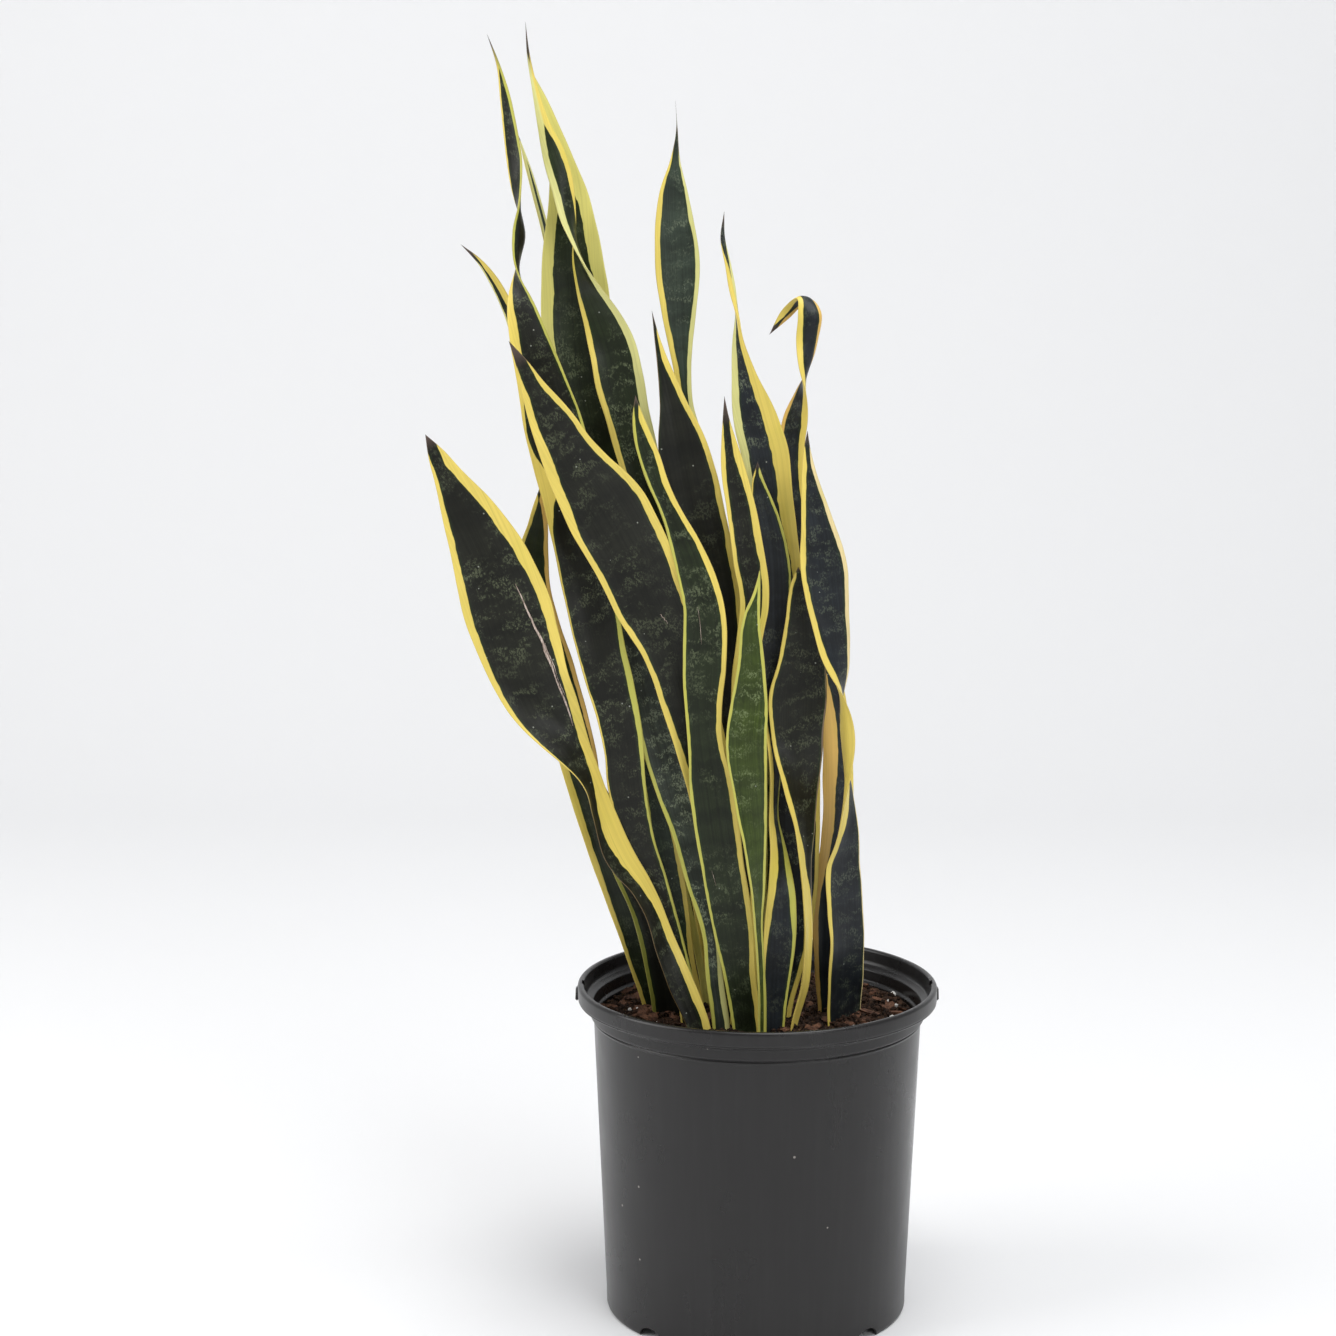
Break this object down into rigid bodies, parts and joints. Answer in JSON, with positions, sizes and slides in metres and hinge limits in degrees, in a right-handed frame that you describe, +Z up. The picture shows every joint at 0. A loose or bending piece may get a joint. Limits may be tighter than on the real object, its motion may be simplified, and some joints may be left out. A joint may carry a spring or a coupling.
{
  "type": "potted snake plant",
  "caption": "Potted snake plant: upright sword leaves with yellow margins and twisting blades, planted in soil in a tapered black nursery pot with a rolled rim.",
  "frame": {"origin": "centre of the pot's base pad, on the surface it stands on", "axes": "+Z up the plant, -Y the side that the plant faces, +X to the right seen from that side"},
  "size_m": [0.354, 0.254, 0.901],
  "materials": {
    "pot_plastic": "black moulded plastic, soft satin sheen with faint scuffs",
    "soil": "dark reddish-brown bark and peat mix with white perlite grains, matt",
    "leaf": "smooth waxy leaf, near-black green with grey-green bands and yellow margins",
    "leaf_young": "smooth waxy young leaf, brighter green with yellow margins"
  },
  "bodies": {
    "root": {"nursery_pot": "pot_plastic", "potting_soil": "soil", "leaf_tall_twisted_left": "leaf", "leaf_tallest_whip": "leaf", "leaf_broad_yellow_back": "leaf", "leaf_thin_edge_back": "leaf", "leaf_small_hooked_left": "leaf", "leaf_front_diagonal": "leaf", "leaf_front_s_curve": "leaf", "leaf_mottled_narrow": "leaf", "leaf_left_rear": "leaf", "leaf_left_leaning": "leaf", "leaf_left_inner": "leaf", "leaf_pale_narrow": "leaf", "leaf_right_upper_broad": "leaf", "leaf_dark_centre": "leaf", "leaf_purple_tip": "leaf", "leaf_green_front": "leaf_young", "leaf_wide_yellow_right": "leaf", "leaf_bluish_right": "leaf", "leaf_right_centre_dark": "leaf", "leaf_right_outer": "leaf", "leaf_bent_tip_right": "leaf"}
  },
  "joints": []
}
